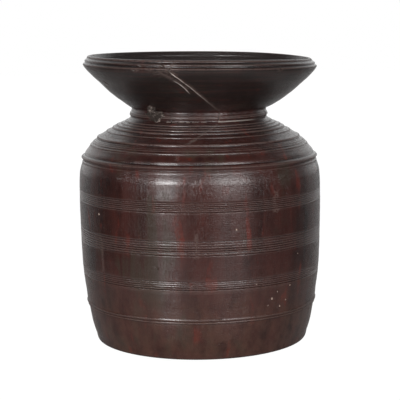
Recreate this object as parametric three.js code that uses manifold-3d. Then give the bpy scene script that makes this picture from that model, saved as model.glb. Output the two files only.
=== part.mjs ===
// A wooden milk pot, turned from one log: flat foot, tall belly, domed shoulder, narrow neck and a wide
// funnel rim with two beads. The front right of the funnel split off along the grain and was glued back,
// so that sherd, its glue line and three fills are solids of their own.
// Millimetres, +Z up. The origin is the centre of the foot, on the surface that the pot stands on.
import * as THREE from 'three';
import { mergeVertices } from 'three/addons/utils/BufferGeometryUtils.js';
import Module from 'manifold-3d';

// Heights of the stretches, from the foot up
const lowWallHeight = 47.6;
const lowerFlankHeight = 129.4;
const upperFlankHeight = 49;
const domeHeight = 48;
const neckHeight = 12.6;
const funnelHeight = 50.4;
const rimHeight = 13;

// Outer radii
const footR = 130.4;
const lowGrooveR = 138.4;
const bellyR = 147.3;
const shoulderR = 142.4;
const neckR = 82.6;
const rimR = 141.4;
const topR = 134.2;

// The foot turns under in a broad, nearly flat chamfer with a small round above it
const footChamferWidth = 14;
const footChamferRise = 2.6;
const footRoundWidth = 3.4;
const footRoundHeight = 10.5;

// Wood thickness
const bellyWall = 12;
const neckWall = 14;
const funnelWall = 9;
const floorThickness = 26;
const floorFillet = 22;
const floorRise = 26;
const lipWall = 7;
const lipDepth = 4;
const lipRound = 0.5;
const throatEdge = 3;

// Turned ornament: combed bands of fine grooves, beads, and the low steps of the shoulder
const lineDepth = 0.7;
const upperBandLines = 6;
const upperBandPitch = 2.2;
const upperBandAboveBelly = 6.6;
const middleBandLines = 7;
const middleBandPitch = 2.66;
const middleBandBelowBelly = 40.7;
const lowerBandLines = 5;
const lowerBandPitch = 2.3;
const lowerBandAboveGroove = 45.5;
const flankStepOut = 1.6;
const beadProud = 1.3;
const beadHeight = 3.8;
const shoulderSetBack = 2.8;
const shoulderSetUp = 1.2;
const domeSteps = [0.34, 0.52, 0.68, 0.775, 0.84, 0.885, 0.93];
const domeStepHeight = 1.6;
const domeStepLean = 0.25;
const rimGrooveDepth = 2.1;
const neckSwell = 1.2;
const neckHollow = 0.9;
const plainStrip = 1;

// The split: a vertical surface along the grain, seen from above. It is straight in the middle and bows out
// on both sides.
const splitAzimuth = 45;
const splitFromBore = 3.4;
const splitStraightHalf = 38;
const splitBowWidth = 84;
const splitBowDepth = 9;
const splitSteps = 10;
const ledgeBelowNeck = 0;
const glueGap = 0.3;

// Fills: a strip seated in a slot, and one lump in a pit
const fillWidth = 1;
const fillDepth = 2;
const fillProud = 0.2;
const fillBelowRim = 2;
const seatGap = 0.3;
const shoulderCrackBelowLedge = 3;
const shoulderCrackDrop = 18;
const crackAzimuth = 24;
const crackInsideRim = 38.4;
const crackFrom = -96;
const crackTo = -54;
const grooveFillFrom = -24;
const grooveFillTo = 8;

// The lump is two masses of filler in one: the wide one on the neck, the other up on the funnel
const lumpAzimuth = -38;
const neckMass = { width: 22, height: 15.2, thickness: 8.4, outFromNeck: -1.2, up: 7.6 };
const funnelMass = { width: 14.8, height: 13.2, thickness: 9.2, outFromNeck: 3.8, up: 15.6 };

const segments = 44;

// Sizes that follow
const bellyZ = lowWallHeight + lowerFlankHeight;
const shoulderZ = bellyZ + upperFlankHeight;
const neckFootZ = shoulderZ + domeHeight;
const neckTopZ = neckFootZ + neckHeight;
const rimFootZ = neckTopZ + funnelHeight;
const height = rimFootZ + rimHeight;
const neckBore = neckR - neckWall;
const splitDepth = neckBore + splitFromBore;
const ledgeZ = neckFootZ - ledgeBelowNeck;
const domeFootZ = shoulderZ + beadHeight + shoulderSetUp;
const far = 2 * bellyR;
const pastTop = height + rimHeight;

const wasm = await Module();
wasm.setup();

// Outline helpers: a point is (radius, height)
const at = (r, z) => new THREE.Vector2(r, z);
const radians = THREE.MathUtils.degToRad;

// A smooth curve through the points, without its last point, which the next run starts with
const smooth = (points, count) => new THREE.SplineCurve(points).getPoints(count).slice(0, -1);

// A curve from a to b whose inner points are given as shares of the way out and of the way up
const between = (a, b, shares, count) => smooth(
  [a, ...shares.map(([out, up]) => at(a.x + (b.x - a.x) * out, a.y + (b.y - a.y) * up)), b], count);

// The radius of a run of points at a height
function radiusAt(points, z) {
  const i = points.findIndex((p, k) => k > 0 && (p.y - z) * (points[k - 1].y - z) <= 0);
  const [p, q] = [points[i - 1], points[i]];
  return p.x + (q.x - p.x) * (z - p.y) / (q.y - p.y);
}

// The run of points moved square to itself, inwards
const inset = (points, depth) => points.map((p, i) => {
  const a = points[Math.max(i - 1, 0)];
  const b = points[Math.min(i + 1, points.length - 1)];
  const along = b.clone().sub(a).normalize();
  return at(p.x - along.y * depth, p.y + along.x * depth);
});

// The plain outer surfaces, before any ornament
const foot = at(footR, footRoundHeight);
const lowWallTop = at(lowGrooveR, lowWallHeight);
const flankFoot = at(lowGrooveR + flankStepOut, lowWallHeight + plainStrip / 2);
const belly = at(bellyR, bellyZ);
const shoulder = at(shoulderR, shoulderZ);
const domeFoot = at(shoulderR - shoulderSetBack, domeFootZ);
const neckFoot = at(neckR, neckFootZ);
const neckTop = at(neckR, neckTopZ);
const rimFoot = at(rimR - beadProud, rimFootZ);

const lowWall = between(foot, lowWallTop, [[0.31, 0.2], [0.63, 0.47]], 3);
const lowerFlank = between(flankFoot, belly, [[0.22, 0.13], [0.66, 0.33], [0.85, 0.55], [0.95, 0.78]], 9);
const upperFlank = between(belly, shoulder, [[0.06, 0.41], [0.25, 0.68], [0.55, 0.81]], 6);
const dome = between(domeFoot, neckFoot,
  [[0.09, 0.19], [0.15, 0.28], [0.29, 0.46], [0.5, 0.65], [0.61, 0.75], [0.73, 0.85], [0.86, 0.92]], 12);
const funnel = between(neckTop, rimFoot,
  [[0.08, 0.05], [0.24, 0.17], [0.52, 0.42], [0.67, 0.59], [0.82, 0.76], [0.96, 0.94]], 8);
const flank = [...lowerFlank, ...upperFlank, shoulder];

// A band of fine lines cut into a surface: a row of valleys with ridges left between and beside them
function band(middle, lines, pitch) {
  const cut = [];
  for (let i = 0; i < 2 * lines + 1; i++) {
    const z = middle + (i - lines) * pitch / 2;
    cut.push(at(radiusAt(flank, z) - (i % 2 ? lineDepth : 0), z));
  }
  return cut;
}

const bands = [
  band(lowWallHeight + lowerBandAboveGroove, lowerBandLines, lowerBandPitch),
  band(bellyZ - middleBandBelowBelly, middleBandLines, middleBandPitch),
  band(bellyZ + upperBandAboveBelly, upperBandLines, upperBandPitch),
];
const clearOfBands = (p) => bands.every(
  (cut) => p.y < cut[0].y - plainStrip || p.y > cut.at(-1).y + plainStrip);
const bandedFlank = [...flank.filter(clearOfBands), ...bands.flat()].sort((p, q) => p.y - q.y);

// The dome in low steps: an upright riser at each of these shares of its height, and plain treads between
const steppedDome = domeSteps.flatMap((up) => {
  const z = shoulderZ + domeHeight * up;
  const r = radiusAt([...dome, neckFoot], z);
  return [at(r, z - domeStepHeight / 2), at(r - domeStepLean, z + domeStepHeight / 2)];
});

// A bead standing proud of a wall
const bead = (r, z) => [at(r, z), at(r + beadProud, z + beadHeight / 2), at(r, z + beadHeight)];

// Neck: a low swell with a hollow above it
const neck = [
  neckFoot,
  at(neckR + neckSwell, neckFootZ + neckHeight * 0.33),
  at(neckR + neckSwell, neckFootZ + neckHeight * 0.47),
  at(neckR - neckHollow, neckFootZ + neckHeight * 0.82),
];

// Rim: lower bead, groove, upper bead and a rounded lip that leans in
const rimAt = (back, up) => at(rimR - back, rimFootZ + rimHeight * up);
const rim = [
  rimFoot,
  rimAt(0, 0.17),
  rimAt(0, 0.26),
  rimAt(rimGrooveDepth, 0.42),
  rimAt(rimGrooveDepth, 0.55),
  rimAt(rimGrooveDepth * 2, 0.7),
  rimAt(rimGrooveDepth * 2.6, 0.8),
  at(topR + 2 * lipRound, height - lipRound),
  at(topR, height),
];

const corner = [
  at(footR - footChamferWidth, 0),
  at(footR - footRoundWidth, footChamferRise),
  at(footR - footRoundWidth / 3, footRoundHeight * 0.45),
];

const outside = [
  at(0, 0),
  ...corner,
  ...lowWall,
  lowWallTop,
  ...bandedFlank.filter((p) => p.y < shoulderZ - plainStrip),
  ...bead(shoulderR, shoulderZ),
  domeFoot,
  ...steppedDome,
  ...neck,
  ...funnel,
  ...rim,
];

// The hollow, from the lip down to the floor
const funnelInside = inset([...funnel, rimFoot], funnelWall).slice(1).reverse();
const domeInside = inset([...dome, neckFoot], bellyWall)
  .filter((p, i) => i % 2 && p.x > neckBore + throatEdge).reverse();
const lowInside = at(flankFoot.x - bellyWall, floorThickness + floorRise);
const floorEdge = footR - bellyWall;
const floorTurn = at(floorEdge - floorFillet * 0.3, floorThickness + floorFillet * 0.3);
const floorFlat = at(floorEdge - floorFillet, floorThickness);
const hollow = [
  at(topR - lipWall * 0.2, height - lipRound),
  at(topR - lipWall * 0.45, height - lipDepth),
  ...funnelInside,
  at(neckBore, neckTopZ),
  at(neckBore, neckFootZ),
  ...domeInside,
  ...smooth([at(shoulderR - bellyWall, shoulderZ), at(bellyR - bellyWall, bellyZ), lowInside], 6),
  ...smooth([lowInside, floorTurn, floorFlat], 4),
  floorFlat,
  at(0, floorThickness),
];

// Solids
function solid(geometry) {
  geometry.deleteAttribute('normal');
  geometry.deleteAttribute('uv');
  const merged = mergeVertices(geometry, 1e-4);
  return new wasm.Manifold(new wasm.Mesh({
    numProp: 3,
    vertProperties: new Float32Array(merged.attributes.position.array),
    triVerts: new Uint32Array(merged.index.array),
  }));
}

// A lathe turns about Y, so it is laid over to turn about Z
const turned = (points) => solid(new THREE.LatheGeometry(points, segments).rotateX(Math.PI / 2));

// A block over an outline seen from above, from one height to another. In the outline x runs across the
// view and y runs out from the axis; azimuth 0 faces -Y, and it grows towards +X.
function block(outline, azimuth, from, to) {
  const shape = new THREE.Shape(outline.map(([across, out]) => at(across, -out)));
  const geometry = new THREE.ExtrudeGeometry(shape, { depth: to - from, bevelEnabled: false });
  return solid(geometry.translate(0, 0, from).rotateZ(radians(azimuth)));
}

// All that lies beyond the split, moved out by a shift
function beyondSplit(shift, from, to) {
  const line = [];
  for (let i = -splitSteps; i <= splitSteps; i++) {
    const across = rimR * i / splitSteps;
    const along = THREE.MathUtils.clamp((Math.abs(across) - splitStraightHalf) / splitBowWidth, 0, 1);
    line.push([across, splitDepth + shift + splitBowDepth * Math.sin(Math.PI * along)]);
  }
  return block([...line, [rimR, far], [-rimR, far]], splitAzimuth, from, to);
}

// The upper part of the pot inside its plain outer surface, from the shoulder past the foot of the rim
const pastRimFoot = rimFoot.clone().add(rimFoot).sub(funnel.at(-1));
const upperRun = [...dome, neckFoot, ...funnel, rimFoot, pastRimFoot];
const core = (depth) => turned([at(0, domeFootZ), ...inset(upperRun, depth), at(0, upperRun.at(-1).y)]);

// A fill and the slot that it sits in. region(grow) is the stretch of wall that it takes, grown by a gap.
function seated(region) {
  return {
    fill: region(0).intersect(core(-fillProud)).subtract(core(fillDepth)),
    slot: region(seatGap).intersect(core(-2 * beadProud)).subtract(core(fillDepth + seatGap)),
  };
}

const half = fillWidth / 2;
const fillTop = rimFootZ - fillBelowRim;

// The joint: down the split on both sides and along the ledge under the sherd
const joint = seated((grow) => beyondSplit(-half - grow, ledgeZ - half - grow, fillTop + grow)
  .subtract(beyondSplit(half + grow, ledgeZ + half + grow, height)));

// The split runs on below the ledge, over the front of the shoulder
const shoulderCrackTop = ledgeZ - shoulderCrackBelowLedge;
const leftOfSplit = block([[-far, 0], [0, 0], [0, far], [-far, far]], splitAzimuth, 0, height);
const shoulderCrack = seated((grow) => leftOfSplit
  .intersect(beyondSplit(-half - grow, shoulderCrackTop - shoulderCrackDrop - grow, shoulderCrackTop + grow))
  .subtract(beyondSplit(half + grow, 0, height)));

// The second crack, left of the split
const crackDepth = rimR - crackInsideRim;
const secondCrack = seated((grow) => block([
  [crackFrom - grow, crackDepth - half - grow],
  [crackTo + grow, crackDepth - half - grow],
  [crackTo + grow, crackDepth + half + grow],
  [crackFrom - grow, crackDepth + half + grow],
], crackAzimuth, neckTopZ, fillTop + grow));

// The groove under the neck, left of the joint
const neckGroove = seated((grow) => {
  const side = THREE.MathUtils.radToDeg(grow / neckR);
  const ends = [grooveFillFrom - side, grooveFillTo + side].map(radians);
  const wedge = [[0, 0], ...ends.map((a) => [far * Math.sin(a), far * Math.cos(a)])];
  return block(wedge, 0, ledgeZ - half - grow, ledgeZ + half + grow);
});

// The lump of resin, half sunk in a pit in the neck
const mass = (size, grow) => solid(new THREE.SphereGeometry(1, 18, 12)
  .scale(size.width / 2 + grow, size.thickness / 2 + grow, size.height / 2 + grow)
  .translate(0, -neckR - size.outFromNeck, neckFootZ + size.up)
  .rotateZ(radians(lumpAzimuth)));
const lumpShape = (grow) => mass(neckMass, grow).add(mass(funnelMass, grow));

// The pot, taken apart
const slots = [joint, shoulderCrack, secondCrack, neckGroove].map((seat) => seat.slot);
const whole = slots.reduce((pot, slot) => pot.subtract(slot), turned([...outside, ...hollow]));
const rimSherd = whole.intersect(beyondSplit(glueGap / 2, ledgeZ + glueGap / 2, pastTop));
const potBody = whole
  .subtract(beyondSplit(-glueGap / 2, ledgeZ - glueGap / 2, pastTop))
  .subtract(lumpShape(seatGap));

const wood = (color, roughness) => new THREE.MeshStandardMaterial({ color, roughness, metalness: 0 });
const darkWood = wood(0x3a2c27, 0.42);
const sherdWood = wood(0x352a27, 0.5);
const paleGlue = wood(0x9a8d84, 0.7);
const resin = wood(0x8a7264, 0.8);

function mesh(name, shape, material) {
  const { vertProperties, triVerts, numProp } = shape.getMesh();
  const geometry = new THREE.BufferGeometry();
  geometry.setAttribute('position', new THREE.BufferAttribute(vertProperties, numProp));
  geometry.setIndex(new THREE.BufferAttribute(triVerts, 1));
  geometry.computeVertexNormals();
  const part = new THREE.Mesh(geometry, material);
  part.name = name;
  return part;
}

const pot = new THREE.Group();
pot.add(
  mesh('pot_body', potBody, darkWood),
  mesh('rim_sherd', rimSherd, sherdWood),
  mesh('joint_glue_line', joint.fill, paleGlue),
  mesh('funnel_crack_fill', secondCrack.fill, paleGlue),
  mesh('shoulder_crack_fill', shoulderCrack.fill, paleGlue),
  mesh('neck_groove_fill', neckGroove.fill, paleGlue),
  mesh('neck_resin_lump', lumpShape(0), resin),
);

export default pot;
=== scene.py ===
# A dark turned wooden milk pot with a mended funnel rim, on a plain pale floor.
import math

import bmesh
import bpy
import numpy as np
from mathutils import Matrix, Vector, noise


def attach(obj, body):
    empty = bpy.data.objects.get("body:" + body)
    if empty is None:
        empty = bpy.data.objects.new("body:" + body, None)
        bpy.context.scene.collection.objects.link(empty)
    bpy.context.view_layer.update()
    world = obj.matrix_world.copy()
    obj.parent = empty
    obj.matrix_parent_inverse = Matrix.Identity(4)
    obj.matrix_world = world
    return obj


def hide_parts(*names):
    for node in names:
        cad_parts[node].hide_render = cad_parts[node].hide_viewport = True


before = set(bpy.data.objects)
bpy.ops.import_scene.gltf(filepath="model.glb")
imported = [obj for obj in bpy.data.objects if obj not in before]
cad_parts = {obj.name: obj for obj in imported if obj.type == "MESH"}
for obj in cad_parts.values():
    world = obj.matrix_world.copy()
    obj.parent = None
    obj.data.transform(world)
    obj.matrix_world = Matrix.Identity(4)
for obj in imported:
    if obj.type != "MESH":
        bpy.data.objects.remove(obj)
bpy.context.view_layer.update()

MM = 0.001
COLUMNS = 288
RNG = np.random.default_rng(7)


# Outline
# Stations are (radius, height) in millimetres. Each run is a smooth curve, and the runs meet at a crease.
UNDERSIDE = [(1.5, 3.4), (40, 3.1), (80, 2.6), (96, 1.9), (101, 0.6), (104, 0)]
FOOT_CORNER = [(110, 0), (116, 0.5), (121.5, 1.3), (126.3, 2.5), (128.6, 4.2), (129.7, 7), (130.4, 10.5)]
LOW_WALL = [(130.5, 11), (132.6, 17.2), (135, 26), (136.9, 36), (138.2, 44), (138.5, 47.2)]
FLANK = [(140, 47.9), (141.6, 64), (144.8, 90), (146.2, 118), (146.9, 148), (147.3, 177),
         (147, 197), (146.1, 210), (144.6, 216.5), (143, 221), (142.4, 225.8)]
# The shoulder is turned in low steps: flat treads that face up and short risers that face out
SHOULDER = [
    [(142.4, 226.2), (142.5, 229.3)],
    [(141.9, 229.7), (139.9, 230.7)],
    [(139.3, 231), (138.5, 233.9), (136.7, 236.4), (134.5, 238.9), (132.7, 241.6)],
    [(132.4, 241.7), (132.3, 242.5), (131.9, 243.2)],
    [(131.1, 243.5), (127.6, 246.8), (124.1, 249.7)],
    [(123.6, 249.9), (123.5, 251.2), (122.9, 252.4)],
    [(121.9, 252.7), (117.5, 254.9), (112.4, 258.1)],
    [(112.1, 258.2), (112, 258.8), (111.5, 259.3)],
    [(110.5, 259.5), (105.6, 261.7)],
    [(104.9, 261.9), (104.8, 262.8), (104.1, 263.8)],
    [(103.4, 264.1), (100.4, 265)],
    [(100.1, 265.1), (100, 265.7), (99.6, 266.3)],
    [(98.6, 266.6), (94.8, 267.5)],
    [(94.5, 267.6), (94.4, 268.1), (94, 268.6)],
    [(93, 268.9), (89.8, 269.7)],
    [(89.5, 269.8), (89.4, 270.5), (88.9, 271.2)],
    [(87.9, 271.5), (84.1, 273.6)],
]
PLAIN_SHOULDER = [(142.4, 226.2), (139.6, 231), (134.5, 239), (131.6, 242.8), (123.2, 250.6), (117.4, 254.9),
                  (111.4, 259), (104.7, 262.9), (98, 266.7), (90.2, 269.7), (84, 273.9)]
NECK = [(83, 274.8), (82.9, 276.2), (83.7, 278.2), (83.8, 280), (82.7, 282.2), (81.7, 284.4), (82, 286)]
FUNNEL = [(82.6, 286.6), (87, 288.9), (91.8, 292), (96.4, 295.3), (101.7, 299), (112.3, 307.7), (121.1, 316.5),
          (129.9, 324.8), (138, 334), (140.1, 336.8)]
RIM = [(140.4, 337.6), (140, 341.5), (138.2, 345), (136.4, 348)]
LIP = [(135.6, 349.2), (134.6, 349.8), (133.4, 350), (132.4, 349.5), (131.9, 348.3)]
INSIDE = [(131.4, 346.5), (129.4, 341), (125.5, 334), (117, 325.3), (107.5, 316.7), (97, 308), (86.5, 300.5),
          (76.5, 293), (70.5, 286.5), (68.6, 281), (69.5, 275), (76, 265.5), (90, 256.3), (104, 247.5),
          (116, 238.8), (125, 229), (131, 217), (134.4, 200), (135.2, 178), (134, 148), (132.8, 110),
          (130.5, 80), (126.8, 56), (121.5, 43), (112, 33.5), (100, 28.5), (84, 26.4), (60, 26), (20, 25.8),
          (1.5, 25.7)]
# Where the fills' outline ends, on the lower rim bead
RIM_END = (140.8, 340)


def curve(stations, step=0.4):
    """Points about a step apart on a smooth curve through the stations."""
    p = np.array(stations, float)
    ends = np.vstack([2 * p[0] - p[1], p, 2 * p[-1] - p[-2]])
    out = []
    for a, b, c, d in zip(ends, ends[1:], ends[2:], ends[3:]):
        for t in np.arange(0, 1, step / max(np.linalg.norm(c - b), step)):
            out.append(0.5 * (2 * b + (c - a) * t + (2 * a - 5 * b + 4 * c - d) * t ** 2
                              + (3 * b - a - 3 * c + d) * t ** 3))
    return np.array(out + [p[-1]])


def bumps(along, marks):
    """The height above the surface that a list of marks makes."""
    return sum((h * np.exp(-((along - at) / w) ** 2) for at, h, w in marks), np.zeros(len(along)))


def raise_square(points, height):
    """Points moved square to their curve, away from the wood."""
    along = np.gradient(points, axis=0)
    along /= np.linalg.norm(along, axis=1)[:, None]
    return points + np.stack([along[:, 1], -along[:, 0]], axis=1) * height[:, None]


# Beads and grooves on the outline
# Marks are (height up the pot, how far they stand out, half width). A groove stands out by a negative amount.
COMB_DEPTH, COMB_HALF_WIDTH = 0.62, 0.62


def comb(middle, lines, pitch):
    """A row of fine grooves, cut by hand: each a little off in place and depth."""
    first = middle - pitch * (lines - 1) / 2
    return [(first + i * pitch + RNG.normal(0, 0.09), -COMB_DEPTH * RNG.uniform(0.75, 1.2), COMB_HALF_WIDTH)
            for i in range(lines)]


def tool_rings(first, step, count, off, height, half_widths):
    """Slight, uneven rings that the turning tool left."""
    return [(first + step * i + RNG.uniform(-off, off), RNG.uniform(-height, height), RNG.uniform(*half_widths))
            for i in range(count)]


COMBED_BANDS = comb(183.6, 6, 2.2) + comb(136.3, 7, 2.66) + comb(93.1, 5, 2.3)
LEDGE_BEAD = [(51.8, 0.9, 1.0), (49.6, -0.4, 0.6)]
UNDER_SHOULDER = [(222.4, 0.2, 0.6), (224.4, -0.6, 0.8)]
FLANK_MARKS = COMBED_BANDS + LEDGE_BEAD + UNDER_SHOULDER + tool_rings(64, 4.7, 33, 1.5, 0.09, (0.8, 2.4))
SHOULDER_MARKS = [(227.8, 1.25, 1.2), (244.4, -0.3, 0.5), (245.5, 0.4, 0.5), (247.2, 0.4, 0.5),
                  (248.2, -0.3, 0.5), (254.9, -0.2, 0.4)]
NECK_MARKS = [(278.4, 0.4, 0.4), (279.6, -0.3, 0.4), (282.4, -0.3, 0.5)]
RIM_MARKS = [(339.8, 1.3, 1.5), (342.4, -0.7, 0.7), (344.6, 0.8, 1.1), (347.4, -0.5, 0.6)]
FUNNEL_MARKS = tool_rings(296, 3.4, 12, 1, 0.12, (0.7, 1.8))


def marked(stations, marks):
    """A smooth run of the outline with its marks on it."""
    points = curve(stations)
    return raise_square(points, bumps(points[:, 1], marks))


def marked_flat(stations):
    """The underside, with the fine rings that the turning tool left. They fade where the pot rests."""
    points = curve(stations, 0.8)
    rings = 0.12 * np.sin(points[:, 0] * 1.1) + 0.08 * np.sin(points[:, 0] * 0.43 + 1)
    fade = np.clip((UNDERSIDE[-1][0] - points[:, 0]) / 8, 0, 1)
    return points + np.stack([np.zeros(len(points)), rings * fade], axis=1)


def thin(points, tolerance=0.02, widest=4.0):
    """Only the points that the outline needs."""
    keep = [0, len(points) - 1]
    todo = [(0, len(points) - 1)]
    while todo:
        a, b = todo.pop()
        if b - a < 2:
            continue
        p, q = points[a], points[b]
        d = q - p
        size = np.linalg.norm(d)
        inner = points[a + 1:b]
        off = (abs(d[0] * (inner[:, 1] - p[1]) - d[1] * (inner[:, 0] - p[0])) / size if size > 1e-6
               else np.linalg.norm(inner - p, axis=1))
        if off.max() > tolerance or size > widest:
            k = a + 1 + int(off.argmax() if off.max() > tolerance else (b - a) // 2 - 1)
            keep.append(k)
            todo += [(a, k), (k, b)]
    return points[sorted(keep)]


inside_points = curve(INSIDE, 1.0)
inside_points = raise_square(inside_points, 0.12 * np.sin(np.arange(len(inside_points)) * 1.3))
upper_wall = np.vstack([marked(run, SHOULDER_MARKS) for run in SHOULDER]
                       + [marked(NECK, NECK_MARKS), marked(FUNNEL, FUNNEL_MARKS)])
OUTLINE = thin(np.vstack([
    marked_flat(UNDERSIDE), curve(FOOT_CORNER), marked(LOW_WALL, []), marked(FLANK, FLANK_MARKS),
    upper_wall, marked(RIM, RIM_MARKS), curve(LIP), inside_points,
]))
PLAIN_UPPER = np.vstack([curve(PLAIN_SHOULDER, 2), curve(NECK, 2), curve(FUNNEL, 2), [RIM_END]])
PLAIN_WALL = np.vstack([curve(LOW_WALL, 2), curve(FLANK, 2), PLAIN_UPPER[:-1], RIM])


# The slow warp of the old wood
# How far the pot has moved to the right, by height
SHIFT_HEIGHTS = (224, 229, 236, 247, 253, 262, 272, 276, 284, 289, 295, 302, 318, 328, 338, 346, 350)
SHIFTS = (0, -0.2, -0.3, -0.7, -1, -0.8, -0.5, -0.3, -0.1, 1.8, 2.7, 2.7, 3, 2.6, 2.1, 2, 1.5)


def rise(z, low, high):
    """Zero below a stretch of height, one above it and smooth between."""
    t = np.clip((z - low) / (high - low), 0, 1)
    return t * t * (3 - 2 * t)


def settle(x, y, z):
    """Above the belly the pot leans to the right. The funnel sits off the axis and has sunk on its right."""
    around = np.arctan2(x, -y)
    oval = 1 + 0.001 * np.cos(2 * around + 2.6)
    right = np.clip(x, 0, None)
    lean = x * np.interp(z, (60, 200, 250, 276), (0, 0.003, 0.004, 0.0065))
    drop = rise(z, 285, 345) * (1.4 + 0.0075 * x + 0.87e-4 * right ** 2)
    drop += rise(z, 338, 349) * 1.2 * np.clip((x - 60) / 70, 0, 1) ** 2
    return x * oval + np.interp(z, SHIFT_HEIGHTS, SHIFTS), y * oval, z - drop - lean


# Shapes
def revolve(name, points):
    """A closed solid turned from an outline of (radius, height) points that begins and ends near the axis."""
    r, z = points[:, 0], points[:, 1]
    a = np.arange(COLUMNS) * 2 * math.pi / COLUMNS
    x, y = r[:, None] * np.sin(a), -r[:, None] * np.cos(a)
    verts = np.stack(settle(x, y, np.repeat(z[:, None], COLUMNS, 1)), 2).reshape(-1, 3)
    last = len(points) - 1
    i, j = np.meshgrid(np.arange(last), np.arange(COLUMNS), indexing="ij")
    k = (j + 1) % COLUMNS
    row, next_row = i * COLUMNS, (i + 1) * COLUMNS
    quads = np.stack([row + j, row + k, next_row + k, next_row + j], -1).reshape(-1, 4)
    caps = [list(range(COLUMNS))[::-1], [last * COLUMNS + c for c in range(COLUMNS)]]
    mesh = bpy.data.meshes.new(name)
    mesh.from_pydata((verts * MM).tolist(), [], quads.tolist() + caps)
    mesh.update()
    return mesh


def gathered(parts):
    """One mesh of several separate (vertices, faces) in millimetres."""
    verts, faces = [], []
    for part_verts, part_faces in parts:
        faces += [[i + len(verts) for i in f] for f in part_faces]
        verts += part_verts
    mesh = bpy.data.meshes.new("gathered")
    mesh.from_pydata((np.array(verts) * MM).tolist(), [], faces)
    mesh.update()
    return mesh


def outward(mesh):
    """The mesh with all its faces turned outward."""
    bm = bmesh.new()
    bm.from_mesh(mesh)
    bmesh.ops.recalc_face_normals(bm, faces=bm.faces)
    bm.to_mesh(mesh)
    bm.free()
    return mesh


def with_material(mesh, material):
    """The mesh with one material on all of it."""
    mesh.materials.clear()
    mesh.materials.append(material)
    return mesh


def object_of(name, data):
    """A new object in the scene for a mesh, lamp or camera."""
    obj = bpy.data.objects.new(name, data)
    bpy.context.scene.collection.objects.link(obj)
    return obj


def combine(mesh, other, operation):
    """The boolean of two closed meshes, as a new mesh. A cut face has the material of the mesh that cut it."""
    a, b = object_of("first", mesh), object_of("second", other)
    mod = a.modifiers.new("cut", "BOOLEAN")
    mod.operation, mod.object, mod.solver, mod.material_mode = operation, b, "MANIFOLD", "TRANSFER"
    bpy.context.view_layer.update()
    result = bpy.data.meshes.new_from_object(a.evaluated_get(bpy.context.evaluated_depsgraph_get()))
    bpy.data.objects.remove(a)
    bpy.data.objects.remove(b)
    return result


def turned(points, azimuth):
    """Points of (across, out, height), turned from the front to an azimuth in degrees."""
    turn = math.radians(azimuth)
    c, s = math.cos(turn), math.sin(turn)
    return [(u * c + d * s, u * s - d * c, z) for u, d, z in points]


def bar(center, size, azimuth):
    """A plain block by its middle (across, out, height) and size, turned to an azimuth."""
    corners = ((-0.5, -0.5), (0.5, -0.5), (0.5, 0.5), (-0.5, 0.5))
    verts = [(center[0] + du * size[0], center[1] + dd * size[1], center[2] + dz * size[2])
             for dz in (-0.5, 0.5) for du, dd in corners]
    sides = [[0, 1, 5, 4], [1, 2, 6, 5], [2, 3, 7, 6], [3, 0, 4, 7]]
    return turned(verts, azimuth), [[3, 2, 1, 0], [4, 5, 6, 7]] + sides


def lump(center, radii, seed, azimuth, detail):
    """A closed, broken-looking lump, as (vertices in millimetres, faces)."""
    bm = bmesh.new()
    bmesh.ops.create_icosphere(bm, subdivisions=detail, radius=1)
    turn = math.radians(azimuth)
    c, s = math.cos(turn), math.sin(turn)
    verts = []
    for v in bm.verts:
        k = 1 + 0.5 * noise.noise(v.co * 1.7 + Vector((seed, seed * 0.7, 1)))
        k += 0.25 * noise.noise(v.co * 5.5 + Vector((seed, 3, seed)))
        k += 0.125 * noise.noise(v.co * 13 + Vector((3, seed, seed)))
        x, y, z = v.co.x * radii[0] * k, v.co.y * radii[1] * k, v.co.z * radii[2] * k
        verts.append((center[0] + x * c - y * s, center[1] + x * s + y * c, center[2] + z))
    faces = [[v.index for v in f.verts] for f in bm.faces]
    bm.free()
    return verts, faces


def wavy_slab(across, depth, low, high, azimuth, width, bow, seed):
    """A thin upright sheet of uneven thickness, from above along a line that bows out in the middle."""
    columns, rows = 60, 16
    verts, faces = [], []
    for side in (-1, 1):
        for j in range(rows + 1):
            z = low + (high - low) * j / rows
            for i in range(columns + 1):
                u = across[0] + (across[1] - across[0]) * i / columns
                wave = bow * math.sin(math.pi * i / columns)
                wave += 0.8 * noise.noise(Vector((u * 0.08, z * 0.05, seed)))
                thick = width * (0.55 + 0.45 * noise.noise(Vector((u * 0.6, z * 0.6, seed + side))))
                verts.append((u, depth + wave + side * thick / 2, z))
    w = columns + 1
    half = w * (rows + 1)
    for side in (0, 1):
        for j in range(rows):
            for i in range(columns):
                a = side * half + j * w + i
                faces.append([a, a + 1, a + w + 1, a + w])
    edge = [i for i in range(w)] + [j * w + columns for j in range(1, rows + 1)]
    edge += [rows * w + i for i in range(columns - 1, -1, -1)] + [j * w for j in range(rows - 1, 0, -1)]
    for a, b in zip(edge, edge[1:] + edge[:1]):
        faces.append([a, b, b + half, a + half])
    return turned(verts, azimuth), faces


def inside_of(wall):
    """The solid inside a stretch of the upper wall."""
    return revolve("skin", np.vstack([[(0.5, wall[0, 1])], wall, [(0.5, wall[-1, 1])]]))


def skin(out):
    """The solid inside the plain upper wall, moved out by a distance, or in by a negative one."""
    return inside_of(raise_square(PLAIN_UPPER, np.full(len(PLAIN_UPPER), out)))


# The split: an upright surface along the grain, with the torn roughness of split wood
# It faces the front right, and the sherd beyond it stands on a ledge in the lower neck groove
SPLIT_AZIMUTH, SPLIT_DEPTH = 45, 71.3
LEDGE = 274.5
BOW_START, BOW_WIDTH = 38, 84


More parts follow.
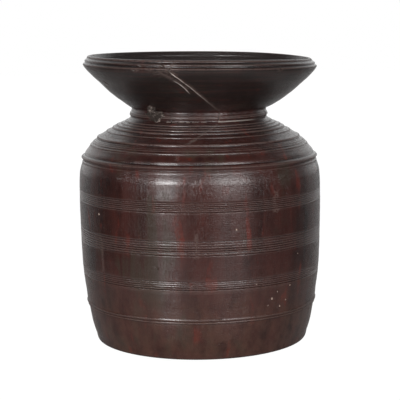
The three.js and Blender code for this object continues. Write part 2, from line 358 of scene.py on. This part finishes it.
def split_depth(across, z, uneven):
    """The split's distance from the axis, at a place across it and a height. uneven is (seed, roughness)."""
    bow = max(math.sin(math.pi * min(max((abs(across) - BOW_START) / BOW_WIDTH, 0), 1)), 0) ** 0.7
    d = SPLIT_DEPTH + bow * float(np.interp(z, (255, 292), (5, 9.5)))
    d += 0.5 * noise.noise(Vector((across * 0.06, z * 0.03, 3)))
    d += 0.35 * noise.noise(Vector((across * 0.35, z * 0.12, 12)))
    return d + uneven[1] * noise.noise(Vector((across * 0.5, z * 0.5, uneven[0])))


def beyond(shift, low, high, uneven=(0, 0)):
    """The block of all that lies beyond the split, moved out by a shift, between two heights."""
    columns, rows, side, reach = 160, 40, 150, 260
    verts, faces = [], []
    for j in range(rows + 1):
        z = low + (high - low) * j / rows
        for i in range(columns + 1):
            across = -side + 2 * side * i / columns
            verts.append((across, split_depth(across, z, uneven) + shift, z))
    far = len(verts)
    for z in (low, high):
        verts += [(-side, reach, z), (side, reach, z)]
    w = columns + 1
    for j in range(rows):
        for i in range(columns):
            a = j * w + i
            faces.append((a, a + 1, a + w + 1, a + w))
    faces.append([i for i in range(w)][::-1] + [far, far + 1])
    faces.append([rows * w + i for i in range(w)] + [far + 3, far + 2])
    faces.append([j * w for j in range(rows + 1)] + [far + 2, far])
    faces.append([j * w + columns for j in range(rows, -1, -1)] + [far + 1, far + 3])
    faces.append((far, far + 2, far + 3, far + 1))
    mesh = outward(gathered([(turned(verts, SPLIT_AZIMUTH), faces)]))
    bm = bmesh.new()
    bm.from_mesh(mesh)
    bmesh.ops.triangulate(bm, faces=[f for f in bm.faces if len(f.verts) > 4])
    bm.to_mesh(mesh)
    bm.free()
    return mesh


# Chips and checks
# Chips are (azimuth, height up the pot, width, height, depth, seed)
NICKS = [
    (-28, 343.2, 9, 3, 1.3, 1), (-24, 339.6, 6, 2.4, 1, 2), (-18, 343.6, 7, 3, 1.2, 3),
    (-32, 338, 5, 2.6, 0.9, 4), (-14, 339, 6, 3.4, 1.4, 5), (41, 339.4, 5, 3, 1, 6),
    (107, 347, 12, 5, 2.4, 7), (86, 350.7, 30, 5.4, 4.4, 43), (154, 342, 8, 3, 1.3, 8),
    (-141, 339.6, 10, 3, 1.2, 9), (-97, 343, 6, 2.5, 1, 10), (-64, 319, 8, 5, 0.8, 11),
    (-56, 227.2, 6, 2.6, 1, 12), (-12, 228.2, 5, 2, 0.9, 13), (33, 228, 7, 2.2, 1, 14),
    (71, 227.8, 9, 3, 1.3, 15), (128, 228, 11, 3, 1.3, 16), (-118, 227.8, 8, 2.8, 1.1, 17),
    (178, 228, 6, 2.4, 1, 18), (-44, 52.4, 9, 1.8, 0.5, 19), (8, 52.6, 7, 1.6, 0.5, 20),
    (49, 52.3, 10, 1.8, 0.5, 21), (140, 52.4, 10, 3, 1.2, 22), (-150, 52.2, 7, 2.5, 1.1, 23),
    (-100, 52.2, 6, 2.4, 1, 24), (-35, 6, 9, 5, 1.4, 31), (22, 5, 11, 4, 1.3, 32), (63, 7, 8, 5, 1.2, 33),
    (-80, 6, 10, 4, 1.3, 34), (120, 6, 12, 5, 1.5, 35), (-155, 5, 9, 4, 1.2, 36), (52, 126, 3, 2, 0.5, 37),
    (-20, 113, 2.2, 3, 0.5, 38), (60, 110, 2.6, 5, 0.6, 39), (100, 150, 4, 5, 0.7, 40),
    (165, 120, 4, 6, 0.7, 41), (-120, 100, 5, 4, 0.7, 42),
]
# Small fresh chips that show the pale wood
SPECKS = [
    (-53.5, 168.6, 2.8, 3.2, 0.95, 51), (16.2, 157.5, 1.9, 2.4, 0.85, 52), (35, 71.4, 2.4, 3, 0.95, 53),
    (40.2, 60.8, 2.2, 2.4, 0.95, 54), (26.1, 91.4, 3.2, 2, 0.95, 55), (46, 84, 2, 2, 0.85, 56),
    (38, 79, 1.7, 1.9, 0.85, 57), (44, 67, 1.6, 2, 0.85, 58), (33, 64, 1.4, 1.6, 0.8, 59),
    (14.5, 227.8, 4.5, 1.8, 0.95, 60), (17.5, 227.7, 2, 1.6, 0.85, 61), (-16, 227.8, 3, 1.7, 0.9, 62),
    (32.4, 227.6, 2.6, 1.7, 0.9, 63), (51, 120, 1.6, 1.8, 0.85, 64),
]
# Drying checks that follow the grain are (azimuth, height of their middle, length, width, depth)
CHECKS = [
    (-1.5, 141, 32, 0.5, 1.2), (-10.5, 236, 9, 0.45, 1), (36.2, 186, 27, 0.5, 1.2), (-52, 120, 40, 0.4, 1),
    (88, 160, 60, 0.6, 1.6), (-70, 316.5, 13, 0.9, 1.4), (147, 90, 70, 0.6, 1.8), (-163, 175, 48, 0.5, 1.4),
    (-118, 60, 34, 0.5, 1.2),
]


def on_wall(azimuth, z, out):
    """A point out from the plain outer wall, at an azimuth in degrees (0 faces the viewer) and a height."""
    r = np.interp(z, PLAIN_WALL[:, 1], PLAIN_WALL[:, 0]) + out
    a = math.radians(azimuth)
    return tuple(float(v) for v in settle(r * math.sin(a), -r * math.cos(a), z))


def nick(azimuth, z, wide, tall, deep, seed):
    """The lump that a small chip takes out of the wall."""
    return lump(on_wall(azimuth, z, 0.35), (wide / 2, deep, tall / 2), seed, azimuth, 2)


def check(azimuth, z, length, width, depth, seed):
    """A fine crack along the grain: a long thin wedge that wanders."""
    rows = 14
    verts, faces = [], []
    for j in range(rows + 1):
        t = j / rows
        swell = math.sin(math.pi * t)
        a = azimuth + 0.35 * noise.noise(Vector((seed, t * 3, 0)))
        height = z + length * (t - 0.5)
        half = width * (0.15 + swell * 0.85) / 2
        dx, dy = math.cos(math.radians(a)) * half, math.sin(math.radians(a)) * half
        x, y, h = on_wall(a, height, 0.6)
        verts += [(x - dx, y - dy, h), (x + dx, y + dy, h), on_wall(a, height, -depth * (0.3 + 0.7 * swell))]
    for j in range(rows):
        for i in range(3):
            k = (i + 1) % 3
            faces.append([3 * j + i, 3 * j + k, 3 * j + 3 + k, 3 * j + 3 + i])
    faces += [[2, 1, 0], [3 * rows, 3 * rows + 1, 3 * rows + 2]]
    return verts, faces


# Materials
class Shader:
    """A material's node tree, built one node at a time. Positions are in millimetres of the row frame."""

    def __init__(self, name):
        self.material = bpy.data.materials.new(name)
        self.material.use_nodes = True
        self.tree = self.material.node_tree
        self.tree.nodes.clear()
        self.out = self.node("ShaderNodeOutputMaterial")
        self.bsdf = self.node("ShaderNodeBsdfPrincipled")
        self.link(self.bsdf.outputs[0], self.out.inputs[0])
        coords = self.node("ShaderNodeTexCoord")
        self.mm = self.vector("MULTIPLY", coords.outputs["Object"], (1000, 1000, 1000))
        parts = self.node("ShaderNodeSeparateXYZ")
        self.link(self.mm, parts.inputs[0])
        self.x, self.y, self.z = parts.outputs

    def node(self, kind, **values):
        n = self.tree.nodes.new(kind)
        for key, value in values.items():
            setattr(n, key, value)
        return n

    def link(self, a, b):
        self.tree.links.new(a, b)

    def put(self, socket, value):
        """Link a socket's value, or set a plain one."""
        if isinstance(value, bpy.types.NodeSocket):
            self.link(value, socket)
        else:
            socket.default_value = value

    def vector(self, operation, a, b):
        n = self.node("ShaderNodeVectorMath", operation=operation)
        self.put(n.inputs[0], a)
        self.put(n.inputs[1], b)
        return n.outputs["Value" if operation in ("DISTANCE", "LENGTH") else "Vector"]

    def math(self, operation, a, b=0.0, c=0.0):
        n = self.node("ShaderNodeMath", operation=operation)
        for socket, value in zip(n.inputs, (a, b, c)):
            self.put(socket, value)
        return n.outputs[0]

    def noise(self, scale, offset=(0, 0, 0), detail=4.0, roughness=0.55, distortion=0.0):
        """Noise over the object, with so many waves per millimetre along x, y and z."""
        place = self.node("ShaderNodeMapping")
        self.link(self.mm, place.inputs["Vector"])
        place.inputs["Scale"].default_value = scale
        place.inputs["Location"].default_value = offset
        n = self.node("ShaderNodeTexNoise")
        self.link(place.outputs[0], n.inputs["Vector"])
        n.inputs["Scale"].default_value = 1
        n.inputs["Detail"].default_value = detail
        n.inputs["Roughness"].default_value = roughness
        n.inputs["Distortion"].default_value = distortion
        return n.outputs["Fac"]

    def span(self, value, low, high, to_low=0.0, to_high=1.0, smooth=True):
        """The value's place between low and high, as a number between two others, held at its ends."""
        n = self.node("ShaderNodeMapRange", interpolation_type="SMOOTHSTEP" if smooth else "LINEAR")
        keys = ("Value", "From Min", "From Max", "To Min", "To Max")
        for key, number in zip(keys, (value, low, high, to_low, to_high)):
            self.put(n.inputs[key], number)
        return n.outputs["Result"]

    def mix(self, amount, a, b):
        """A colour between two others."""
        n = self.node("ShaderNodeMix", data_type="RGBA")
        self.put(n.inputs[0], amount)
        for socket, value in ((n.inputs[6], a), (n.inputs[7], b)):
            self.put(socket, value if isinstance(value, bpy.types.NodeSocket) else (*value, 1))
        return n.outputs[2]

    def bump(self, height, distance, below=None):
        """A bumped normal, on top of another if one is given."""
        n = self.node("ShaderNodeBump")
        n.inputs["Strength"].default_value = 1
        n.inputs["Distance"].default_value = distance
        self.link(height, n.inputs["Height"])
        if below is not None:
            self.link(below, n.inputs["Normal"])
        return n.outputs[0]


# Colours of the wood and of what lies on it
DARK_WOOD, BROWN_WOOD, RED_WOOD = (0.012, 0.0036, 0.0032), (0.074, 0.021, 0.0165), (0.17, 0.024, 0.014)
OLIVE_WOOD, EARTHY_WOOD, INNER_WOOD = (0.056, 0.033, 0.0225), (0.125, 0.056, 0.038), (0.05, 0.038, 0.037)
# The pale edge colour is partly worn wood and partly a painted highlight on the lit crests of beads and ridges
WORN_AND_HIGHLIT_WOOD, SCUFFED_WOOD = (0.19, 0.13, 0.115), (0.26, 0.19, 0.16)
OLD_CHIP, FRESH_CHIP = (0.14, 0.09, 0.07), (0.78, 0.6, 0.5)
SOOT, DUST, GRIME = (0.016, 0.0125, 0.0115), (0.12, 0.095, 0.09), (0.007, 0.0045, 0.004)


def wood(name, bare_color=OLD_CHIP, bare=0.0):
    """Old turned wood: grain along the log, turning marks round it, soot on the funnel, and pale edges that are
    partly wear and partly painted highlight.

    bare says how far a broken face has lost the old surface, from 0 to 1, for bare_color.
    """
    s = Shader(name)
    fibre = s.noise((0.95, 0.95, 0.03), detail=6, roughness=0.65)
    stripe = s.noise((0.055, 0.055, 0.0045), (5, 2, 0), detail=5, roughness=0.6, distortion=0.5)
    streak = s.noise((0.1, 0.1, 0.024), (2, 8, 1), detail=2, roughness=0.4, distortion=0.2)
    patch = s.noise((0.018, 0.018, 0.012), (1, 7, 3), detail=3)
    blotch = s.noise((0.05, 0.05, 0.028), (6, 2, 9), detail=6, roughness=0.65)
    turning = s.noise((0.012, 0.012, 0.55), (0, 0, 4), detail=4, roughness=0.6)
    dashes = s.noise((0.2, 0.2, 0.8), (7, 3, 2), detail=3)

    # Growth rings round a pith that lies a little off the turning axis
    wander = s.math("MULTIPLY", s.math("SUBTRACT", s.noise((0.016, 0.016, 0.0035), detail=2), 0.5), 26)
    flat = s.vector("MULTIPLY", s.mm, (1, 1, 0))
    pith = s.math("ADD", s.vector("DISTANCE", flat, (13, -8, 0)), wander)
    ring = s.math("PINGPONG", s.math("DIVIDE", pith, 5.2), 1.0)

    # The wood itself, with painted light on it: lighter towards the front, as if the front were lit most
    tone = s.math("MULTIPLY_ADD", fibre, 0.25, s.math("MULTIPLY", ring, 0.12))
    tone = s.math("MULTIPLY_ADD", stripe, 0.95, tone)
    tone = s.math("MULTIPLY_ADD", blotch, 0.7, tone)
    tone = s.math("MULTIPLY_ADD", turning, 0.15, s.math("SUBTRACT", tone, 0.52))
    # Painted light: the front of the pot is made lighter, and its sides darker, as though lit from the front
    front_painted_light = s.span(s.y, -60, -145, 0, 0.16)
    light = s.span(s.math("ADD", tone, front_painted_light), 0.34, 0.8, smooth=False)
    color = s.mix(light, DARK_WOOD, BROWN_WOOD)
    olive = s.math("MULTIPLY", s.span(patch, 0.5, 0.62), s.span(stripe, 0.42, 0.58))
    color = s.mix(olive, color, OLIVE_WOOD)
    reddish = s.math("MULTIPLY", s.span(streak, 0.6, 0.74), s.span(blotch, 0.42, 0.6, 0, 0.75))
    color = s.mix(reddish, color, RED_WOOD)

    # The wood below the belly has lost its polish and is browner
    low = s.span(s.math("ADD", s.z, s.math("MULTIPLY", patch, 60)), 150, 60)
    mottle = s.noise((0.07, 0.07, 0.05), (4, 1, 8), detail=5, roughness=0.65)
    earthy = s.math("MULTIPLY", low, s.span(mottle, 0.35, 0.65, 0.15, 0.65))
    color = s.mix(earthy, color, EARTHY_WOOD)

    # Soot and grease on the funnel, thinner on its lip
    smoke = s.math("ADD", s.z, s.math("MULTIPLY", s.math("SUBTRACT", patch, 0.5), 16))
    soot = s.math("MULTIPLY", s.span(smoke, 283, 296), s.span(smoke, 356, 330, 0.7, 1.0))
    color = s.mix(s.math("MULTIPLY", soot, s.span(turning, 0.62, 0.4, 0.55, 0.92)), color, SOOT)

    # The inner wall is greyer and paler than the outside
    out = s.vector("LENGTH", flat, (0, 0, 0))
    between_walls = s.math("MINIMUM", s.math("MULTIPLY_ADD", s.z, 1.1, -235.5), 134)
    inside = s.math("MULTIPLY", s.span(s.math("SUBTRACT", out, between_walls), 1, -1), s.span(s.z, 300, 318))
    color = s.mix(s.math("MULTIPLY", inside, 0.8), color, INNER_WOOD)

    # Dry dust on the neck and the top of the shoulder
    dusty = s.math("MULTIPLY", s.span(s.z, 226, 262), s.span(s.z, 292, 286))
    grit = s.noise((0.25, 0.25, 0.6), (9, 1, 1), detail=6, roughness=0.7)
    dust = s.math("MULTIPLY", dusty, s.span(grit, 0.42, 0.7))
    color = s.mix(s.math("MULTIPLY", dust, 0.4), color, DUST)

    # Grime in the grooves, and pale edges and crests that are partly bare, worn wood and partly a painted
    # highlight
    edge = s.node("ShaderNodeNewGeometry").outputs["Pointiness"]
    uneven = s.noise((0.3, 0.3, 0.3), (4, 4, 4), detail=5)
    # Pale edges and crests: partly real wear, partly a painted highlight where light would catch the beads and
    # ridges
    worn_and_highlit = s.math("MULTIPLY", s.span(edge, 0.504, 0.528), s.span(uneven, 0.25, 0.5))
    color = s.mix(s.math("MULTIPLY", worn_and_highlit, s.math("MULTIPLY_ADD", dusty, 0.15, 0.55)), color, WORN_AND_HIGHLIT_WOOD)
    color = s.mix(s.math("MULTIPLY", s.span(edge, 0.49, 0.45), 0.75), color, GRIME)

    # Small scuffs and scratches, and the scraped beads over the top of the cracks
    scuff = s.noise((0.42, 0.42, 0.3), (11, 3, 5), detail=3, roughness=0.6)
    scuff = s.math("MULTIPLY", s.span(scuff, 0.7, 0.74), s.span(patch, 0.4, 0.6))
    scratch = s.noise((0.5, 0.05, 0.6), (1, 1, 6), detail=2, distortion=0.4)
    scratched = s.noise((0.02, 0.02, 0.02), (8, 8, 8), detail=1)
    scratch = s.math("MULTIPLY", s.span(scratch, 0.74, 0.79), s.span(scratched, 0.52, 0.6))
    scrape = s.span(s.vector("DISTANCE", s.vector("MULTIPLY", s.mm, (1, 1, 2.2)), (-40, -131, 745)), 27, 8)
    level = s.noise((0.11, 0.11, 0.95), (2, 5, 5), detail=6, roughness=0.7)
    scrape = s.math("MULTIPLY", scrape, s.span(level, 0.52, 0.62))
    marks = s.math("MAXIMUM", s.math("MAXIMUM", scuff, scratch), scrape)
    color = s.mix(s.math("MULTIPLY", marks, 0.55), color, SCUFFED_WOOD)
    color = s.mix(bare, color, bare_color)
    s.link(color, s.bsdf.inputs["Base Color"])

    # A rough body under a polish that dust and wear have taken the shine from
    unpolished = s.math("MAXIMUM", worn_and_highlit, s.math("MULTIPLY", low, 0.5))
    dull = s.math("MAXIMUM", s.math("MAXIMUM", dust, marks), unpolished)
    rough = s.math("ADD", s.math("MULTIPLY_ADD", fibre, 0.12, 0.34), bare * 0.3)
    s.link(s.math("MINIMUM", s.math("MULTIPLY_ADD", dull, 0.2, rough), 0.95), s.bsdf.inputs["Roughness"])
    s.bsdf.inputs["Specular IOR Level"].default_value = 0.12
    s.link(s.math("MULTIPLY_ADD", dull, -0.55 * (1 - bare), 0.9 * (1 - bare)), s.bsdf.inputs["Coat Weight"])
    s.link(s.math("MULTIPLY_ADD", dashes, 0.12, 0.05), s.bsdf.inputs["Coat Roughness"])
    s.bsdf.inputs["Coat IOR"].default_value = 1.75

    # Fine relief: turning marks, tool dashes that are stronger on the right, fibre and pores
    pores = s.span(s.noise((2.4, 2.4, 0.16), (3, 9, 0), detail=2), 0.36, 0.5)
    worked = s.math("MULTIPLY", dashes, s.span(s.x, -30, 25, 0.25, 1.0))
    normal = s.bump(turning, 0.00008)
    normal = s.bump(worked, 0.00022, below=normal)
    normal = s.bump(fibre, 0.00004, below=normal)
    normal = s.bump(pores, 0.00005, below=normal)
    s.link(normal, s.bsdf.inputs["Normal"])
    s.link(normal, s.bsdf.inputs["Coat Normal"])
    return s.material


def filler(name, pale, deep, grain, clean=(0, 1), hidden=(400, 401), show=(0.42, 0.68)):
    """Old glue or filler: uneven, dirty, a little rough.

    It turns clean over the heights in clean and dirty again over those in hidden. show is the range of its
    mottling over which the pale colour comes through.
    """
    s = Shader(name)
    mottle = s.noise((grain, grain, grain), detail=6, roughness=0.7)
    dirt = s.noise((0.12, 0.12, 0.12), (3, 5, 1), detail=4)
    amount = s.span(s.math("MULTIPLY_ADD", dirt, 0.6, s.math("MULTIPLY", mottle, 0.5)), *show)
    # The ledge in the neck groove is half clean, but only near the front
    ledge = s.math("MULTIPLY", s.span(s.z, 277, 275.5), s.span(s.x, 70, 56))
    bare = s.math("ADD", s.span(s.z, *clean), s.math("MULTIPLY", ledge, 0.45))
    amount = s.math("MULTIPLY", amount, s.math("SUBTRACT", bare, s.span(s.z, *hidden)))
    s.link(s.mix(amount, deep, pale), s.bsdf.inputs["Base Color"])
    s.link(s.math("MULTIPLY_ADD", mottle, 0.3, 0.5), s.bsdf.inputs["Roughness"])
    s.link(s.bump(mottle, 0.0006), s.bsdf.inputs["Normal"])
    return s.material


OLD_WOOD = wood("old_turned_wood")
CHIPPED = wood("chipped_wood", OLD_CHIP, 0.35)
FRESH = wood("freshly_chipped_wood", FRESH_CHIP, 0.8)
DIRTY_GLUE = (0.05, 0.036, 0.031)
GLUE = filler("old_glue", (0.8, 0.71, 0.64), DIRTY_GLUE, 0.7, (284, 330), (332, 337), (0.38, 0.56))
WHITE_GLUE = filler("white_glue", (0.85, 0.79, 0.74), DIRTY_GLUE, 0.9, (308, 316), (321, 327), (0.3, 0.55))
SEAL = filler("groove_filler", (0.3, 0.24, 0.21), (0.06, 0.044, 0.038), 0.9)
STAINED = filler("stained_filler", (0.13, 0.1, 0.09), (0.05, 0.035, 0.03), 0.9)
RESIN = filler("brown_filler", (0.42, 0.34, 0.3), (0.042, 0.028, 0.022), 2.0, show=(0.56, 0.64))


# The turned pot, with its chips and checks
whole = with_material(outward(revolve("pot", OUTLINE)), OLD_WOOD)
cracks = [check(*c, seed=i) for i, c in enumerate(CHECKS)]
for cuts, surface in (([nick(*n) for n in NICKS], CHIPPED), ([nick(*n) for n in SPECKS], FRESH),
                      (cracks, OLD_WOOD)):
    whole = combine(whole, with_material(outward(gathered(cuts)), surface), "DIFFERENCE")

# Fills, each with the slot that it lies in
# A fill stands PROUD of the wood, reaches SEAT into it, and its slot is open SLOT_OUT beyond it
PROUD, SEAT, SLOT_OUT = 0.24, 2.0, 4
shell_outer = inside_of(thin(np.vstack([upper_wall, [RIM_END]])) + (PROUD, 0))
shell_inner, slot_outer = skin(-SEAT), skin(SLOT_OUT)


def seated(region):
    """The fill in the wall's surface within a region, and the slot cut for it."""
    fill = combine(combine(region.copy(), shell_outer.copy(), "INTERSECT"), shell_inner.copy(), "DIFFERENCE")
    slot = combine(combine(region.copy(), slot_outer.copy(), "INTERSECT"), shell_inner.copy(), "DIFFERENCE")
    return fill, slot


# The glue along the split, which turns level on the sherd's ledge
HALF, LEDGE_HALF, FILL_TOP = 0.3, 0.6, 337
joint_band = combine(beyond(-HALF, LEDGE - LEDGE_HALF, FILL_TOP, uneven=(11, 0.42)),
                     beyond(HALF, LEDGE + LEDGE_HALF, 360, uneven=(23, 0.42)), "DIFFERENCE")
joint_fill, joint_slot = seated(joint_band)

# The crack where the split runs on over the shoulder, on its left side only
SHOULDER_HALF, SHOULDER_FOOT, SHOULDER_TOP = 0.4, 252, LEDGE - 2.5
shoulder_band = combine(beyond(-SHOULDER_HALF, SHOULDER_FOOT, SHOULDER_TOP, uneven=(31, 0.3)),
                        beyond(SHOULDER_HALF, 240, 300, uneven=(37, 0.3)), "DIFFERENCE")
left = outward(gathered([bar((-80, 60, 262), (72, 160, 60), SPLIT_AZIMUTH)]))
shoulder_fill, shoulder_slot = seated(combine(shoulder_band, left, "INTERSECT"))

# The second, shorter crack in the funnel
second_crack = wavy_slab((-97, -55.5), 100.8, 300, FILL_TOP, azimuth=24, width=0.8, bow=5, seed=5)
second_fill, second_slot = seated(outward(gathered([second_crack])))

# Dashes of filler in the groove under the neck, left of the joint, as (azimuth, width)
DASHES = [(-25, 5), (-20, 6), (-14.2, 7), (-8.6, 4.6), (-3, 7.5), (4, 6)]
dashes = gathered([bar((0, 83, LEDGE), (w, 9, 0.85 + 0.25 * math.sin(a)), a) for a, w in DASHES])
groove_fill, groove_slot = seated(outward(dashes))

# The lump of filler on the left of the neck, sunk in its pit: one mass on the neck, a smaller one on the funnel
LUMP_AT = -38.5
MASSES = [(81.2, 281.4, (11, 4.2, 7.4), 21), (88, 290.4, (5.2, 4.4, 7), 33)]
neck_mass, funnel_mass = (
    outward(gathered([lump(turned([(0, r, z)], LUMP_AT)[0], radii, seed, LUMP_AT, 5)]))
    for r, z, radii, seed in MASSES)
lump_mesh = with_material(outward(combine(neck_mass, funnel_mass, "UNION")), RESIN)

for slot in (joint_slot, shoulder_slot, second_slot, groove_slot, lump_mesh.copy()):
    whole = combine(whole, with_material(slot, OLD_WOOD), "DIFFERENCE")

# The pot and the sherd, each GAP away from the middle of the split
GAP, ABOVE_RIM = 0.15, 380
body = combine(whole.copy(), with_material(beyond(-GAP, LEDGE - GAP, ABOVE_RIM), OLD_WOOD), "DIFFERENCE")
sherd = combine(whole, with_material(beyond(GAP, LEDGE + GAP, ABOVE_RIM), OLD_WOOD), "INTERSECT")

# Pieces
CREASE = math.radians(40)


def finished(name, mesh, node):
    """A piece that stands for a CAD node, with its creases kept sharp."""
    bm = bmesh.new()
    bm.from_mesh(mesh)
    bmesh.ops.remove_doubles(bm, verts=bm.verts, dist=1e-6)
    bmesh.ops.recalc_face_normals(bm, faces=bm.faces)
    for e in bm.edges:
        e.smooth = not e.is_manifold or e.calc_face_angle(0) < CREASE
    for f in bm.faces:
        f.smooth = True
    bm.to_mesh(mesh)
    bm.free()
    obj = object_of(name, mesh)
    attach(obj, "root")
    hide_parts(node)
    return obj


finished("turned_pot", body, "pot_body")
finished("glued_sherd", sherd, "rim_sherd")
finished("joint_line", with_material(joint_fill, GLUE), "joint_glue_line")
finished("second_crack_line", with_material(second_fill, WHITE_GLUE), "funnel_crack_fill")
finished("shoulder_crack_line", with_material(shoulder_fill, STAINED), "shoulder_crack_fill")
finished("neck_groove_line", with_material(groove_fill, SEAL), "neck_groove_fill")
finished("neck_filler", lump_mesh, "neck_resin_lump")


# Floor
# It is pale near the pot and dark far off. To the camera it is white by WHITE_SHARE, at a level of WHITE_LEVEL.
NEAR_FLOOR, FAR_FLOOR = (0.6, 0.57, 0.56), (0.06, 0.055, 0.052)
WHITE_LEVEL, WHITE_SHARE = 1.08, 0.93
FLOOR_SIDE, FLOOR_DROP = 6, 0.0004


def plain_floor():
    """White to the camera, with the pot's shadow laid over it; an ordinary pale floor for all other light."""
    s = Shader("pale_floor")
    reach = s.span(s.vector("LENGTH", s.vector("MULTIPLY", s.mm, (1, 1, 0)), (0, 0, 0)), 260, 760)
    reach = s.math("MULTIPLY", reach, s.span(s.y, 600, 100))
    s.link(s.mix(reach, NEAR_FLOOR, FAR_FLOOR), s.bsdf.inputs["Base Color"])
    s.bsdf.inputs["Roughness"].default_value = 0.3
    seen = s.node("ShaderNodeLightPath").outputs["Is Camera Ray"]
    white = s.node("ShaderNodeEmission")
    white.inputs["Strength"].default_value = WHITE_LEVEL
    mixed = s.node("ShaderNodeMixShader")
    s.put(mixed.inputs[0], s.math("MULTIPLY", seen, WHITE_SHARE))
    s.link(s.bsdf.outputs[0], mixed.inputs[1])
    s.link(white.outputs[0], mixed.inputs[2])
    s.link(mixed.outputs[0], s.out.inputs[0])
    return s.material


corners = [(x * FLOOR_SIDE, y * FLOOR_SIDE, 0) for x, y in ((-1, -1), (1, -1), (1, 1), (-1, 1))]
floor_mesh = bpy.data.meshes.new("floor")
floor_mesh.from_pydata(corners, [], [(0, 1, 2, 3)])
floor = object_of("floor", with_material(floor_mesh, plain_floor()))
floor.location.z = -FLOOR_DROP

# Light
# The world's level rises from DIM to BRIGHT between two directions, as shares of the way to straight behind
FRONT, BACK, DIM, BRIGHT = 0.3, 0.85, 0.03, 0.8


def studio():
    """White behind the pot and to the camera, dimmer in front of it."""
    world = bpy.data.worlds.new("studio")
    world.use_nodes = True
    tree = world.node_tree
    tree.nodes.clear()
    add = tree.nodes.new
    way = add("ShaderNodeSeparateXYZ")
    tree.links.new(add("ShaderNodeTexCoord").outputs["Generated"], way.inputs[0])
    level = add("ShaderNodeMapRange")
    level.interpolation_type = "SMOOTHSTEP"
    tree.links.new(way.outputs["Y"], level.inputs["Value"])
    for key, value in (("From Min", FRONT), ("From Max", BACK), ("To Min", DIM), ("To Max", BRIGHT)):
        level.inputs[key].default_value = value
    lit, white = add("ShaderNodeBackground"), add("ShaderNodeBackground")
    mixed, out = add("ShaderNodeMixShader"), add("ShaderNodeOutputWorld")
    tree.links.new(level.outputs["Result"], lit.inputs["Strength"])
    lit.inputs["Color"].default_value = (1, 1, 1, 1)
    white.inputs["Color"].default_value = (1, 1, 1, 1)
    tree.links.new(add("ShaderNodeLightPath").outputs["Is Camera Ray"], mixed.inputs[0])
    tree.links.new(lit.outputs[0], mixed.inputs[1])
    tree.links.new(white.outputs[0], mixed.inputs[2])
    tree.links.new(mixed.outputs[0], out.inputs[0])
    return world


bpy.context.scene.world = studio()
# Lamps stand this far from the point that they face, in metres
LAMP_AWAY, LAMP_AIM = 1.6, Vector((0, 0, 0.2))


def softbox(name, azimuth, elevation, wide, tall, power):
    """A rectangular lamp that faces the pot's shoulder from an azimuth and an elevation in degrees."""
    lamp = bpy.data.lights.new(name, "AREA")
    lamp.shape, lamp.size, lamp.size_y, lamp.energy = "RECTANGLE", wide, tall, power
    obj = object_of(name, lamp)
    a, e = math.radians(azimuth), math.radians(elevation)
    way = Vector((math.sin(a) * math.cos(e), -math.cos(a) * math.cos(e), math.sin(e)))
    obj.location = LAMP_AIM + way * LAMP_AWAY
    obj.rotation_euler = way.to_track_quat("Z", "Y").to_euler()
    obj.visible_camera = False


softbox("left_window", -30, 13, 0.52, 0.34, 7.5)
softbox("left_window_top", -30, 23.5, 0.52, 0.26, 1.4)
softbox("left_window_foot", -30, -0.5, 0.52, 0.4, 1.8)
softbox("right_window", 29, 16.5, 0.85, 0.52, 7.2)
softbox("right_window_foot", 29, 0, 0.85, 0.4, 1.5)

# Camera
FRAME_PIXELS, FOCAL_PIXELS = 400, 1395
CAMERA_AWAY, CAMERA_HEIGHT, TILT, ROLL = 1700, 419, 8.29, 0.8
camera_data = bpy.data.cameras.new("camera")
camera_data.sensor_fit = "HORIZONTAL"
camera_data.sensor_width = 36
camera_data.lens = camera_data.sensor_width * FOCAL_PIXELS / FRAME_PIXELS
camera = object_of("camera", camera_data)
camera.matrix_world = (
    Matrix.Translation((0, -CAMERA_AWAY * MM, CAMERA_HEIGHT * MM))
    @ Matrix.Rotation(math.radians(90 - TILT), 4, "X")
    @ Matrix.Rotation(math.radians(-ROLL), 4, "Z")
)
bpy.context.scene.camera = camera
bpy.context.scene.view_settings.view_transform = "Standard"
